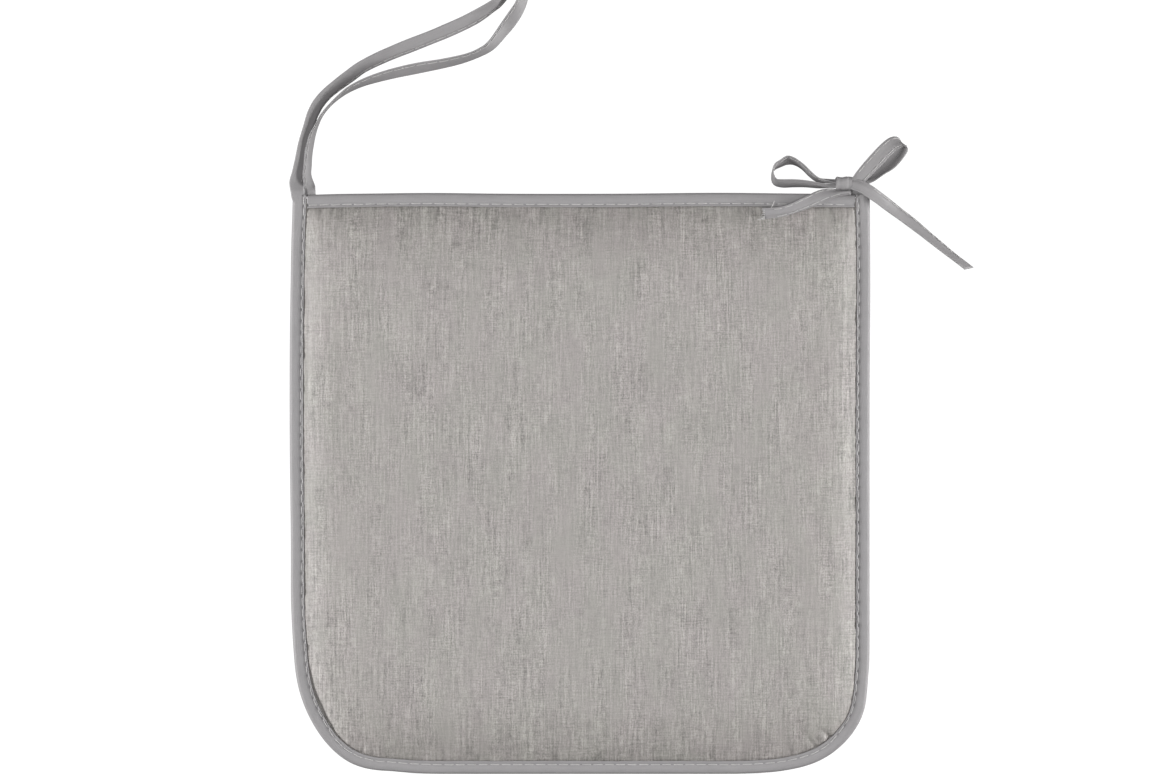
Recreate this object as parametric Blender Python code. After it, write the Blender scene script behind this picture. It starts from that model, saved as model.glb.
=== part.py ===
"""Chair seat pad: a thin square cushion with a bound edge and four tie tapes at its back corners.

Two fabric covers close over a foam core, and a folded tape binds their edges: one tape runs down
the left side, across the front and up the right side, and a shorter one binds the back. Two ties
hang from each back corner; those on the right are tied in a bow.

Metres, +X to the pad's right, +Y to its back edge, +Z up. The origin is on the floor under the
middle of the pad. Inset means a distance inwards from the pad's outer edge.
"""

import math

import bmesh
import bpy
from mathutils import Matrix, Vector

MM = 0.001
CLEARANCE = 0.3 * MM

# Outline, seen from above
PAD_WIDTH = 0.400
PAD_DEPTH = 0.400
# How far each rounded front corner reaches along the front and up the side
RIGHT_CORNER = (0.070, 0.063)
LEFT_CORNER = (0.066, 0.100)
SIDE_BOW = 1.6 * MM
FRONT_BOW = 1.6 * MM
SIDE_STEPS = 5
CORNER_STEPS = 8
HALF_FRONT_STEPS = 3
BACK_STEPS = 6

# Heights of the cushion
CROWN_Z = 20.0 * MM
EDGE_Z = 8.0 * MM
COVER_THICKNESS = 0.8 * MM
CROWN_INSET = 36.0 * MM
SOLE_INSET = 26.0 * MM
CAP_INSET = 60.0 * MM
FLANGE_INSET = 2.8 * MM
FOAM_GAP = 0.5 * MM
DOME_INSETS = [12.0 * MM, 15.0 * MM, 20.0 * MM, 27.0 * MM, CROWN_INSET, CAP_INSET]

# Binding tape, folded over the edge
BINDING_WIDTH = 10.0 * MM
TAPE_THICKNESS = 0.9 * MM
BINDING_HALF_HEIGHT = CLEARANCE / 2 + COVER_THICKNESS + CLEARANCE + TAPE_THICKNESS
FOLD_DEPTH = 1.6 * MM
FOLD_STEPS = 4

# Seams
SEAM_INSET = 7.2 * MM
THREAD_RADIUS = 0.25 * MM
SEAM_END_SETBACK = 1.0 * MM

# Tie tapes
TIE_WIDTH = 9.6 * MM
TIE_THICKNESS = 1.2 * MM
TIE_EDGE_ROUNDING = 0.4 * MM
TIE_STITCH_SETBACK = 1.6 * MM

# Bow knot, a band wrapped round the tapes
KNOT_CENTRE = Vector((182.6, 207.0, 8.0)) * MM
KNOT_LENGTH = 11.6 * MM
KNOT_DEPTH = 8.2 * MM
KNOT_HEIGHT = 8.8 * MM
KNOT_SIDES = 20
KNOT_ROUNDING = 0.9 * MM

# Routes of the tapes, one row per point, chosen by hand: x, y, z in millimetres, then the
# direction of the tape's upper edge (azimuth and tilt in degrees: 0 lies flat, 90 stands on
# edge), then how far the tape is gathered (1 is its full width).
LEFT_OUTER_ROUTE = [
    (-194.9, 201.3, 8.0, 180, 0, 1.0),
    (-195.3, 208.5, 7.3, 180, 12, 1.0),
    (-194.8, 218.0, 6.4, 178, 40, 1.0),
    (-192.2, 230.5, 5.8, 170, 56, 1.0),
    (-188.6, 243.0, 5.2, 163, 54, 1.0),
    (-183.0, 256.8, 4.4, 152, 46, 1.0),
    (-175.2, 268.8, 4.2, 142, 40, 1.0),
    (-161.4, 281.2, 3.5, 130, 30, 1.0),
    (-143.5, 291.5, 2.9, 120, 24, 1.0),
    (-126.6, 299.1, 2.4, 114, 18, 1.0),
    (-98.0, 310.6, 2.1, 112, 14, 1.0),
    (-71.4, 322.6, 2.5, 118, 20, 1.0),
    (-55.4, 333.8, 3.8, 135, 48, 1.0),
    (-48.8, 344.0, 3.4, 155, 34, 1.0),
    (-46.0, 356.0, 2.0, 175, 14, 1.0),
    (-46.4, 367.0, 1.8, 180, 10, 1.0),
]
LEFT_INNER_ROUTE = [
    (-184.9, 201.3, 8.0, 180, 0, 0.94),
    (-185.1, 203.9, 7.7, 180, 4, 0.94),
    (-185.9, 208.4, 6.7, 178, 40, 1.0),
    (-187.1, 215.3, 5.8, 178, 60, 1.0),
    (-187.1, 222.2, 5.4, 175, 68, 1.0),
    (-186.3, 228.7, 5.3, 168, 71, 1.0),
    (-184.5, 236.0, 5.3, 160, 72, 1.0),
    (-182.2, 246.0, 5.4, 155, 75, 1.0),
    (-178.9, 252.9, 5.4, 148, 83, 1.0),
    (-173.8, 260.1, 5.4, 142, 87, 1.0),
    (-165.4, 267.7, 5.4, 130, 84, 1.0),
    (-157.4, 272.7, 5.2, 122, 72, 1.0),
    (-147.6, 277.3, 4.8, 113, 63, 1.0),
    (-131.3, 282.4, 4.7, 106, 60, 1.0),
    (-114.8, 286.4, 4.1, 102, 46, 1.0),
    (-93.4, 290.3, 4.5, 101, 54, 1.0),
    (-78.2, 293.8, 4.6, 106, 57, 1.0),
    (-62.4, 300.8, 3.8, 122, 40, 1.0),
    (-53.3, 312.2, 2.3, 140, 12, 1.0),
    (-45.4, 324.0, 2.1, 148, 8, 1.0),
    (-40.4, 333.0, 3.8, 158, 40, 1.0),
    (-37.6, 343.6, 3.9, 168, 42, 1.0),
    (-35.2, 355.0, 2.0, 170, 14, 1.0),
]
RIGHT_OUTER_ROOT_ROUTE = [
    (193.6, 200.9, 8.0, 180, 0, 1.0),
    (192.8, 202.6, 6.9, 172, 0, 0.8),
    (191.2, 204.6, 5.6, 140, 0, 0.5),
    (188.8, 205.6, 5.0, 95, 0, 0.34),
]
RIGHT_INNER_ROOT_ROUTE = [
    (184.6, 200.7, 6.8, 180, 0, 0.9),
    (184.4, 201.8, 6.0, 180, 0, 0.8),
    (184.2, 203.0, 5.0, 180, 0, 0.7),
]
LEFT_LOOP_ROUTE = [
    (176.0, 208.2, 8.0, 90, 74, 0.29),
    (168.7, 209.9, 7.7, 90, 72, 0.7),
    (162.2, 213.2, 7.2, 90, 70, 0.95),
    (155.9, 218.0, 6.4, 90, 70, 1.0),
    (150.1, 222.0, 5.7, 90, 66, 1.0),
    (143.5, 223.6, 5.3, 90, 62, 1.0),
    (137.0, 221.2, 5.2, 90, 64, 1.0),
    (133.7, 217.2, 5.2, 90, 80, 1.0),
    (134.7, 211.9, 5.2, 90, 72, 1.0),
    (139.4, 208.5, 5.2, 90, 62, 1.0),
    (147.3, 207.4, 5.4, 90, 62, 1.0),
    (156.3, 206.8, 6.2, 90, 68, 0.95),
    (166.0, 206.2, 7.2, 90, 74, 0.7),
    (176.0, 205.8, 8.0, 90, 76, 0.29),
]
RIGHT_LOOP_ROUTE = [
    (189.5, 209.5, 11.2, 90, 0, 0.36),
    (192.6, 212.2, 11.6, 128, 0, 0.66),
    (198.4, 218.4, 11.3, 138, 0, 0.95),
    (205.4, 225.8, 10.7, 134, 0, 1.0),
    (212.8, 232.2, 10.1, 126, 8, 1.0),
    (219.2, 234.8, 9.4, 102, 18, 1.0),
    (223.6, 233.2, 8.4, 84, 20, 1.0),
    (226.0, 230.6, 5.9, 78, 10, 1.0),
    (223.7, 228.5, 3.3, 90, 4, 1.0),
    (218.8, 226.6, 2.2, 114, 6, 1.0),
    (212.9, 223.0, 2.1, 130, 6, 1.0),
    (206.7, 217.9, 2.5, 130, 4, 1.0),
    (200.2, 212.9, 4.6, 126, 0, 0.9),
    (194.0, 210.2, 7.6, 110, 0, 0.52),
    (189.5, 209.5, 9.0, 90, 0, 0.36),
]
LEFT_TAIL_ROUTE = [
    (186.6, 200.5, 11.4, 270, 0, 0.45),
    (181.1, 200.7, 11.4, 268, 0, 0.6),
    (175.3, 200.2, 11.3, 264, 2, 0.8),
    (165.9, 197.8, 11.4, 258, 4, 0.95),
    (157.7, 194.6, 11.9, 250, 12, 1.0),
    (149.4, 191.0, 13.0, 248, 22, 1.0),
    (141.1, 188.2, 14.1, 256, 30, 1.0),
    (127.0, 186.4, 14.6, 266, 32, 1.0),
]
RIGHT_TAIL_ROUTE = [
    (189.2, 205.0, 13.2, 80, 0, 0.38),
    (194.6, 203.0, 13.5, 60, 0, 0.7),
    (199.8, 200.2, 13.0, 52, 4, 0.96),
    (207.4, 194.6, 10.6, 50, 16, 1.0),
    (215.6, 188.0, 7.2, 50, 28, 1.0),
    (224.6, 180.8, 4.9, 51, 38, 1.0),
    (238.4, 170.1, 4.4, 52, 44, 1.0),
    (252.2, 159.4, 4.7, 54, 50, 1.0),
    (267.0, 150.2, 4.8, 58, 54, 1.0),
]

# Hinge lines of the moving tapes
LEFT_TIE_AXIS = Vector((-190.0, 201.3, 8.0)) * MM
LEFT_LOOP_AXIS = Vector((173.9, 207.0, 8.0)) * MM
RIGHT_LOOP_AXIS = Vector((191.9, 209.4, 10.1)) * MM
LEFT_TAIL_AXIS = Vector((186.3, 200.5, 11.4)) * MM
RIGHT_TAIL_AXIS = Vector((189.5, 205.0, 13.2)) * MM

# Colours, roughness
COVER_FINISH = ((0.40, 0.38, 0.36), 0.9)
TAPE_FINISH = ((0.32, 0.31, 0.32), 0.85)
THREAD_FINISH = ((0.50, 0.49, 0.48), 0.7)
FOAM_FINISH = ((0.85, 0.82, 0.68), 0.95)


# ---------------------------------------------------------------- scene helpers

def clear_scene():
    for old in list(bpy.data.objects):
        bpy.data.objects.remove(old, do_unlink=True)


def make_material(name, finish):
    colour, roughness = finish
    material = bpy.data.materials.new(name)
    material.use_nodes = True
    shader = material.node_tree.nodes["Principled BSDF"]
    shader.inputs["Base Color"].default_value = (*colour, 1.0)
    shader.inputs["Roughness"].default_value = roughness
    shader.inputs["Metallic"].default_value = 0.0
    return material


def add_object(name, data, material):
    item = bpy.data.objects.new(name, data)
    data.materials.append(material)
    bpy.context.scene.collection.objects.link(item)
    return item


def hang(item, pivot_name, pivot):
    """Parents a tape to an empty on its hinge line."""
    empty = bpy.data.objects.get(pivot_name)
    if empty is None:
        empty = bpy.data.objects.new(pivot_name, None)
        empty.location = pivot
        bpy.context.scene.collection.objects.link(empty)
    item.parent = empty
    item.matrix_parent_inverse = Matrix.Translation(-pivot)


def loft(name, rings, material):
    """A closed body through rings of points, each ring closed and the two end rings capped."""
    work = bmesh.new()
    loops = [[work.verts.new(point) for point in ring] for ring in rings]
    for near, far in zip(loops, loops[1:]):
        for i in range(len(near)):
            j = (i + 1) % len(near)
            work.faces.new((near[i], near[j], far[j], far[i]))
    work.faces.new(loops[0][::-1])
    work.faces.new(loops[-1])
    bmesh.ops.recalc_face_normals(work, faces=work.faces)
    data = bpy.data.meshes.new(name)
    work.to_mesh(data)
    work.free()
    data.shade_smooth()
    data.set_sharp_from_angle(angle=math.radians(50))
    return add_object(name, data, material)


def tube(name, points, radius, material):
    """A thread: a round tube along a list of points."""
    curve = bpy.data.curves.new(name, "CURVE")
    curve.dimensions = "3D"
    curve.bevel_depth = radius
    curve.bevel_resolution = 2
    curve.use_fill_caps = True
    spline = curve.splines.new("POLY")
    spline.points.add(len(points) - 1)
    for place, point in zip(spline.points, points):
        place.co = (*point, 1.0)
    return add_object(name, curve, material)


# ---------------------------------------------------------------- the pad's outline

def bow(x, y):
    """Bows the sides and the front out a little, as the stuffed pad does."""
    half_width, half_depth = PAD_WIDTH / 2, PAD_DEPTH / 2
    narrowing = SIDE_BOW / half_width * (y / half_depth) ** 2
    shortening = FRONT_BOW / half_depth * (x / half_width) ** 2 if y < 0 else 0.0
    return x * (1 - narrowing), y * (1 - shortening)


def half_rim(corner, inset, back_y):
    """Half the outline, seen as a right half: from mid-front, round its corner, to back_y."""
    reach_x, reach_y = corner
    centre_x = PAD_WIDTH / 2 - reach_x
    centre_y = PAD_DEPTH / 2 - reach_y
    points = []
    for i in range(HALF_FRONT_STEPS):
        points.append((centre_x * i / HALF_FRONT_STEPS, inset - PAD_DEPTH / 2))
    for i in range(CORNER_STEPS + 1):
        angle = math.radians(90) * (i / CORNER_STEPS - 1)
        x = centre_x + (reach_x - inset) * math.cos(angle)
        points.append((x, (reach_y - inset) * math.sin(angle) - centre_y))
    for i in range(1, SIDE_STEPS + 1):
        y = -centre_y + (back_y + centre_y) * i / SIDE_STEPS
        points.append((PAD_WIDTH / 2 - inset, y))
    return points


def rim(inset, back_y):
    """The outline from the back left, round the front, to the back right."""
    right = half_rim(RIGHT_CORNER, inset, back_y)
    left = [(-x, y) for x, y in half_rim(LEFT_CORNER, inset, back_y)[:0:-1]]
    return [bow(x, y) for x, y in left + right]


def ring(inset, z):
    """The whole closed outline at one inset and height."""
    back_y = PAD_DEPTH / 2 - inset
    half = PAD_WIDTH / 2 - inset
    points = rim(inset, back_y)
    for i in range(1, BACK_STEPS):
        points.append(bow(half * (1 - 2 * i / BACK_STEPS), back_y))
    return [Vector((x, y, z)) for x, y in points]


# ---------------------------------------------------------------- cushion

def top_height(inset):
    """Outer face of the top cover: a flange, then a rise to the flat crown."""
    flange = EDGE_Z + CLEARANCE / 2 + COVER_THICKNESS
    rise = (inset - BINDING_WIDTH) / (CROWN_INSET - BINDING_WIDTH)
    rise = min(max(rise, 0.0), 1.0)
    return flange + (CROWN_Z - flange) * (1 - (1 - rise) ** 2)


def sole_height(inset):
    """Outer face of the bottom cover: a flange, then a fall to the floor."""
    flange = EDGE_Z - CLEARANCE / 2 - COVER_THICKNESS
    fall = (inset - BINDING_WIDTH) / (SOLE_INSET - BINDING_WIDTH)
    fall = min(max(fall, 0.0), 1.0)
    return flange * (1 - fall) ** 2


def slope_factor(height, inset):
    """How much longer a thickness is when measured straight down through a sloping sheet."""
    step = 0.1 * MM
    slope = (height(inset + step) - height(inset - step)) / (2 * step)
    return math.hypot(1.0, slope)


def make_cover(name, height, inward, material):
    """A fabric sheet with a flat flange; inward is -1 for the top cover and +1 for the bottom."""
    insets = [FLANGE_INSET, BINDING_WIDTH] + DOME_INSETS
    outer = [ring(inset, height(inset)) for inset in reversed(insets)]
    inner = []
    for inset in insets:
        drop = COVER_THICKNESS * slope_factor(height, inset)
        inner.append(ring(inset, height(inset) + inward * drop))
    return loft(name, outer + inner, material)


def make_foam(material):
    insets = DOME_INSETS
    top, sole = [], []
    for inset in insets:
        lining = COVER_THICKNESS * slope_factor(top_height, inset) + FOAM_GAP
        top.append(ring(inset, top_height(inset) - lining))
        lining = COVER_THICKNESS * slope_factor(sole_height, inset) + FOAM_GAP
        sole.append(ring(inset, sole_height(inset) + lining))
    return loft("foam_core", top[::-1] + sole, material)


# ---------------------------------------------------------------- binding and seams

def fold_section():
    """The folded tape's section as (inset, height above the edge's mid-plane) points."""
    outer_half = BINDING_HALF_HEIGHT
    inner_half = outer_half - TAPE_THICKNESS
    outer, inner = [(BINDING_WIDTH, outer_half)], [(BINDING_WIDTH, inner_half)]
    for i in range(FOLD_STEPS + 1):
        angle = math.radians(90 - 180 * i / FOLD_STEPS)
        reach, lift = math.cos(angle), math.sin(angle)
        outer.append((FOLD_DEPTH * (1 - reach), outer_half * lift))
        inner.append((TAPE_THICKNESS + FOLD_DEPTH * (1 - reach), inner_half * lift))
    outer.append((BINDING_WIDTH, -outer_half))
    inner.append((BINDING_WIDTH, -inner_half))
    return outer + inner[::-1]


def make_perimeter_binding(material):
    """One tape from the back left corner, round the front, to the back right corner."""
    rows = []
    for inset, lift in fold_section():
        rows.append([Vector((x, y, EDGE_Z + lift)) for x, y in rim(inset, PAD_DEPTH / 2)])
    sections = [list(section) for section in zip(*rows)]
    return loft("perimeter_binding", sections, material)


def make_back_binding(material):
    """The back tape, which butts against the side tapes at both ends."""
    reach = PAD_WIDTH / 2 - BINDING_WIDTH - CLEARANCE
    sections = []
    for i in range(BACK_STEPS + 1):
        x = reach * (2 * i / BACK_STEPS - 1)
        section = []
        for inset, lift in fold_section():
            place = bow(x, PAD_DEPTH / 2 - inset)
            section.append(Vector((*place, EDGE_Z + lift)))
        sections.append(section)
    return loft("back_edge_binding", sections, material)


def make_seam_threads(material):
    """The lockstitch: a needle thread on top of the tape and a bobbin thread under it."""
    lift = BINDING_HALF_HEIGHT + CLEARANCE + THREAD_RADIUS
    side_run = rim(SEAM_INSET, PAD_DEPTH / 2 - SEAM_END_SETBACK)
    back_y = PAD_DEPTH / 2 - SEAM_INSET
    reach = PAD_WIDTH / 2 - BINDING_WIDTH - SEAM_END_SETBACK
    back_run = [bow(reach * (2 * i / BACK_STEPS - 1), back_y) for i in range(BACK_STEPS + 1)]
    for side, height in (("needle", EDGE_Z + lift), ("bobbin", EDGE_Z - lift)):
        for run_name, run in (("perimeter", side_run), ("back", back_run)):
            points = [(x, y, height) for x, y in run]
            tube(f"{run_name}_seam_{side}_thread", points, THREAD_RADIUS, material)


# ---------------------------------------------------------------- tapes

def knots_of(route):
    """Route rows as (place, width direction, gather)."""
    rows = []
    for x, y, z, azimuth, tilt, gather in route:
        turn, lean = math.radians(azimuth), math.radians(tilt)
        across = Vector((math.cos(turn) * math.cos(lean), math.sin(turn) * math.cos(lean), math.sin(lean)))
        rows.append((Vector((x, y, z)) * MM, across, gather))
    return rows


def blend_rows(a, b, c, d, t):
    """A Catmull-Rom point between b and c, for vectors and for numbers."""
    return 0.5 * ((2 * b) + (c - a) * t + (2 * a - 5 * b + 4 * c - d) * t * t
                  + (3 * b - a - 3 * c + d) * t * t * t)


def stations(route, steps):
    """Points along a smooth curve through the route: (place, across, normal, gather)."""
    rows = knots_of(route)
    padded = [rows[0]] + rows + [rows[-1]]
    samples = []
    for k in range(len(rows) - 1):
        for i in range(steps):
            samples.append([blend_rows(*column, i / steps) for column in zip(*padded[k:k + 4])])
    samples.append(list(rows[-1]))
    result = []
    for k, (place, across, gather) in enumerate(samples):
        before = samples[max(k - 1, 0)][0]
        after = samples[min(k + 1, len(samples) - 1)][0]
        along = (after - before).normalized()
        across = (across - along * across.dot(along)).normalized()
        result.append((place, across, along.cross(across), gather))
    return result


def make_tape(name, route, steps, material):
    """A flat tape with softened edges, its section carried along the route."""
    half_thickness = TIE_THICKNESS / 2
    sections = []
    for place, across, normal, gather in stations(route, steps):
        half_width = TIE_WIDTH / 2 * gather
        flat = half_width - TIE_EDGE_ROUNDING
        outline = [(half_width, 0.0), (flat, half_thickness), (-flat, half_thickness),
                   (-half_width, 0.0), (-flat, -half_thickness), (flat, -half_thickness)]
        sections.append([place + across * u + normal * v for u, v in outline])
    return loft(name, sections, material)


def make_tape_thread(name, route, steps, side, face, material):
    """The thread sewn along one edge of a tape: side picks the edge and face the tape's face."""
    lift = TIE_THICKNESS / 2 + CLEARANCE + THREAD_RADIUS
    points = []
    for place, across, normal, gather in stations(route, steps)[1:-1]:
        reach = (TIE_WIDTH / 2 - TIE_STITCH_SETBACK) * gather
        points.append(place + across * reach * side + normal * lift * face)
    return tube(name, points, THREAD_RADIUS, material)


def make_left_ties(tape, thread):
    for name, route, steps, side in (("left_outer_tie", LEFT_OUTER_ROUTE, 3, -1),
                                     ("left_inner_tie", LEFT_INNER_ROUTE, 2, 1)):
        hang(make_tape(name, route, steps, tape), f"{name}_pivot", LEFT_TIE_AXIS)
        stitching = make_tape_thread(f"{name}_thread", route, steps, side, 1, thread)
        hang(stitching, f"{name}_pivot", LEFT_TIE_AXIS)


def make_knot(material):
    """The band round the middle of the bow: an oval drum with rounded rims."""
    half = KNOT_LENGTH / 2
    stops = [(-half, KNOT_ROUNDING), (KNOT_ROUNDING - half, 0.0),
             (half - KNOT_ROUNDING, 0.0), (half, KNOT_ROUNDING)]
    rings = []
    for offset, shrink in stops:
        points = []
        for i in range(KNOT_SIDES):
            angle = 2 * math.pi * i / KNOT_SIDES
            depth = (KNOT_DEPTH / 2 - shrink) * math.cos(angle)
            height = (KNOT_HEIGHT / 2 - shrink) * math.sin(angle)
            points.append(KNOT_CENTRE + Vector((offset, depth, height)))
        rings.append(points)
    return loft("bow_knot", rings, material)


def make_bow(tape, thread):
    make_knot(tape)
    make_tape("right_outer_tie_root", RIGHT_OUTER_ROOT_ROUTE, 2, tape)
    make_tape("right_inner_tie_root", RIGHT_INNER_ROOT_ROUTE, 2, tape)
    for name, route, steps, axis, side, face in (
            ("bow_left_loop", LEFT_LOOP_ROUTE, 3, LEFT_LOOP_AXIS, 1, -1),
            ("bow_right_loop", RIGHT_LOOP_ROUTE, 3, RIGHT_LOOP_AXIS, -1, 1),
            ("bow_left_tail", LEFT_TAIL_ROUTE, 2, LEFT_TAIL_AXIS, 1, 1),
            ("bow_right_tail", RIGHT_TAIL_ROUTE, 2, RIGHT_TAIL_AXIS, 1, 1)):
        hang(make_tape(name, route, steps, tape), f"{name}_pivot", axis)
        stitching = make_tape_thread(f"{name}_thread", route, steps, side, face, thread)
        hang(stitching, f"{name}_pivot", axis)


# ---------------------------------------------------------------- the whole pad

def main():
    clear_scene()
    cover = make_material("cover_fabric", COVER_FINISH)
    tape = make_material("binding_tape", TAPE_FINISH)
    thread = make_material("sewing_thread", THREAD_FINISH)
    foam = make_material("foam", FOAM_FINISH)
    make_cover("top_cover", top_height, -1, cover)
    make_cover("bottom_cover", sole_height, 1, cover)
    make_foam(foam)
    make_perimeter_binding(tape)
    make_back_binding(tape)
    make_seam_threads(thread)
    make_left_ties(tape, thread)
    make_bow(tape, thread)


main()
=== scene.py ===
"""Looks of the chair seat pad: woven covers, folded tape binding, stitches, ties and a bow.

Metres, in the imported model's frame: +X to the pad's right, +Y to its back edge, +Z up. Inset
means a distance inwards from the pad's outer edge.
"""

import bisect
import math
import random
from typing import NamedTuple

import bpy
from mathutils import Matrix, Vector, noise


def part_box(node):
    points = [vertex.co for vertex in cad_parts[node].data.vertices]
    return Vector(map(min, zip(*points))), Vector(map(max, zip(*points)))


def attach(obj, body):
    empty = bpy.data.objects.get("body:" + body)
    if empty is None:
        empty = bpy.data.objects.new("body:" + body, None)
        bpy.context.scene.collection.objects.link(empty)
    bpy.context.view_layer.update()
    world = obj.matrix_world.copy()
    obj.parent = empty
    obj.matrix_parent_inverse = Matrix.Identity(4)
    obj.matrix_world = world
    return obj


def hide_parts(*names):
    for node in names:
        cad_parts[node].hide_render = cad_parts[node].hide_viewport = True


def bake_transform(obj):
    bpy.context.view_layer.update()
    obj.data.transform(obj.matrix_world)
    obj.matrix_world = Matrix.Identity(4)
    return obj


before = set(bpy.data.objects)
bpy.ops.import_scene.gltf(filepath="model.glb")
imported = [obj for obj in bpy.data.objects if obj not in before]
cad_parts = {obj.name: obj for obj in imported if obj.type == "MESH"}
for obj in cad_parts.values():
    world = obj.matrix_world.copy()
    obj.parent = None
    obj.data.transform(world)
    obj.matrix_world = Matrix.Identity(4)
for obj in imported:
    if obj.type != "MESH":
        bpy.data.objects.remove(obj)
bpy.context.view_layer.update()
MM = 0.001

# Outline of the pad, as in the CAD
EDGE_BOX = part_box("perimeter_binding")
HALF = EDGE_BOX[1][0]
EDGE_Z = (EDGE_BOX[0][2] + EDGE_BOX[1][2]) / 2
CROWN_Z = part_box("top_cover")[1][2]
RIGHT_CORNER = (0.070, 0.063)
LEFT_CORNER = (0.066, 0.100)

# Where the seams draw each edge in, in millimetres: place along the edge, reach, depth (less
# than nothing where the edge stands out)
LEFT_DRAW = [(205, 30, 1.6), (165, 50, 0.9), (-50, 55, 0.9), (-112, 24, 1.8)]
RIGHT_DRAW = [(140, 50, -0.5), (-142, 14, 1.4)]
FRONT_DRAW = [(-138, 20, 2.2), (143, 20, 1.5)]
BACK_DRAW = [(-105, 40, -0.6), (95, 50, -0.7), (-200, 25, 0.8), (205, 20, 0.4)]

# Cushion: the covers' flat rims lie between the folds of the tape, and the domes level out at
# CROWN_INSET above and SOLE_INSET below
CORNER_BLEND = 30.0 * MM
FLANGE_INSET = 2.8 * MM
COVER_THICKNESS = 0.8 * MM
COVER_GAP = 0.15 * MM
COVER_CLEARANCE = COVER_THICKNESS + 0.05 * MM
CROWN_INSET = 52.0 * MM
SOLE_INSET = 26.0 * MM
GRID = 112
CORNER_SOFTNESS = 22.0 * MM
FOAM_GRID = 56
FOAM_INSET = 13.0 * MM
FOAM_SLACK = 0.8 * MM
FOAM_EDGE_SLACK = 2.2 * MM

# Cloth: the covers start a little flat and swell; SAG_LIMIT bounds how far they end off the dome
START_HEIGHT = 0.94
PIN_INSET = 10.5 * MM
CLOTH_STEPS = 20
CLOTH_STIFFNESS = 20.0
SWELL_LIMIT = 1.2 * MM
SAG_LIMIT = 0.35 * MM

# Relief of the covers beside the tape, heights in millimetres; RIGHT_RUN_SHIFT keeps the right
# half's gathers unlike the left's, and the crease lies by the left front corner
GATHER_DEPTH = 2.4
SIDE_SWELL = {"top": 1.1, "bottom": 0.4}
END_SWELL = 1.1
RIGHT_RUN_SHIFT = 0.9
CREASE_PLACE = (-0.178, -0.156)
CREASE_REACH = 24.0 * MM
CREASE_WIDTH = 3.5 * MM
CREASE_DEPTH = 0.8

# Binding tape; the tables give millimetres for each edge
BINDING_WIDTH = 10.0 * MM
BINDING_HALF_HEIGHT = (EDGE_BOX[1][2] - EDGE_BOX[0][2]) / 2
TAPE_THICKNESS = 0.9 * MM
TAPE_WIDTHS = {"left": 9.6, "right": 9.5, "front": 9.2, "back": 9.3}
SEAM_INSETS = {"left": 8.1, "right": 8.0, "front": 6.6, "back": 7.4}
LIP_LIFTS = {"left": 0.45, "right": 0.45, "front": 0.1, "back": 0.1}
FOLD_DEPTHS = {"left": 3.2, "right": 3.2, "front": 1.8, "back": 1.8}
HOLE_DEPTHS = {"left": 0.6, "right": 0.7, "front": 0.2, "back": 0.3}
RIM_STEP = 1.1 * MM

# Thread
STITCH_PITCH = 7.9 * MM
STITCH_GAP = 1.1 * MM
TIE_STITCH_GAP = 0.6 * MM
THREAD_RADIUS = 0.27 * MM

# Ties; the hem is sewn 1.6 mm inside the edge, and shares are of half the tape's width
TIE_WIDTH = 9.6 * MM
TIE_THICKNESS = 1.2 * MM
TIE_STITCH_SHARE = 1 - 2 * 1.6 * MM / TIE_WIDTH
TIE_STEP = 1.5 * MM
TIE_COLUMNS = 22
TIE_ROUNDED_SHARE = 0.14
KNOT_CENTRE = Vector((182.6, 207.0, 8.0)) * MM
KNOT_SIZE = Vector((11.6, 9.1, 8.8)) * MM

# Routes of the tapes, one row per point: x, y, z in millimetres, the direction of the tape's upper
# edge (azimuth and tilt in degrees), how far it is gathered (1 is its full width), then how far the
# tape is cupped from edge to edge, in degrees. Each tie starts inside the binding, each bow piece
# inside or against the knot. These aren't the CAD's points: in the open their middle lines lie up
# to 4.3 mm off the CAD's, and the starts reach up to 8 mm past it.
LEFT_OUTER_ROUTE = [
    (-193.0, 193.5, 8.0, 180, 0, 0.8, 0),
    (-194.2, 197.6, 8.0, 180, 0, 0.9, 0),
    (-194.6, 201.3, 8.0, 180, 0, 0.95, 0),
    (-195.3, 207.6, 7.6, 180, 6, 1.0, 20),
    (-194.2, 213.2, 7.0, 178, 26, 1.0, 60),
    (-192.8, 220.1, 6.6, 174, 38, 1.06, 78),
    (-191.4, 227.0, 6.2, 170, 44, 1.13, 88),
    (-189.9, 233.9, 6.1, 166, 44, 1.14, 88),
    (-188.0, 240.8, 6.0, 164, 44, 1.14, 88),
    (-186.0, 247.7, 5.9, 161, 44, 1.14, 88),
    (-183.8, 254.6, 5.8, 155, 44, 1.14, 88),
    (-180.2, 261.6, 5.5, 146, 44, 1.14, 86),
    (-174.5, 268.6, 5.1, 138, 43, 1.10, 78),
    (-166.4, 275.6, 4.6, 132, 37, 1.04, 60),
    (-158.2, 282.0, 3.7, 127, 32, 1.0, 30),
    (-150.0, 288.0, 3.3, 123, 32, 1.0, 20),
    (-137.7, 294.3, 2.9, 117, 26, 1.0, 10),
    (-123.9, 300.2, 2.6, 114, 20, 1.0, 0),
    (-96.3, 311.2, 2.1, 112, 12, 1.0, 0),
    (-75.6, 320.6, 2.4, 116, 18, 1.0, 0),
    (-62.0, 328.8, 3.6, 128, 42, 1.0, 0),
    (-55.4, 333.8, 3.8, 135, 48, 1.0, 0),
    (-48.8, 344.0, 3.4, 155, 34, 1.0, 0),
    (-46.0, 356.0, 2.0, 175, 14, 1.0, 0),
    (-46.4, 367.0, 1.8, 180, 10, 1.0, 0),
]
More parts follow.
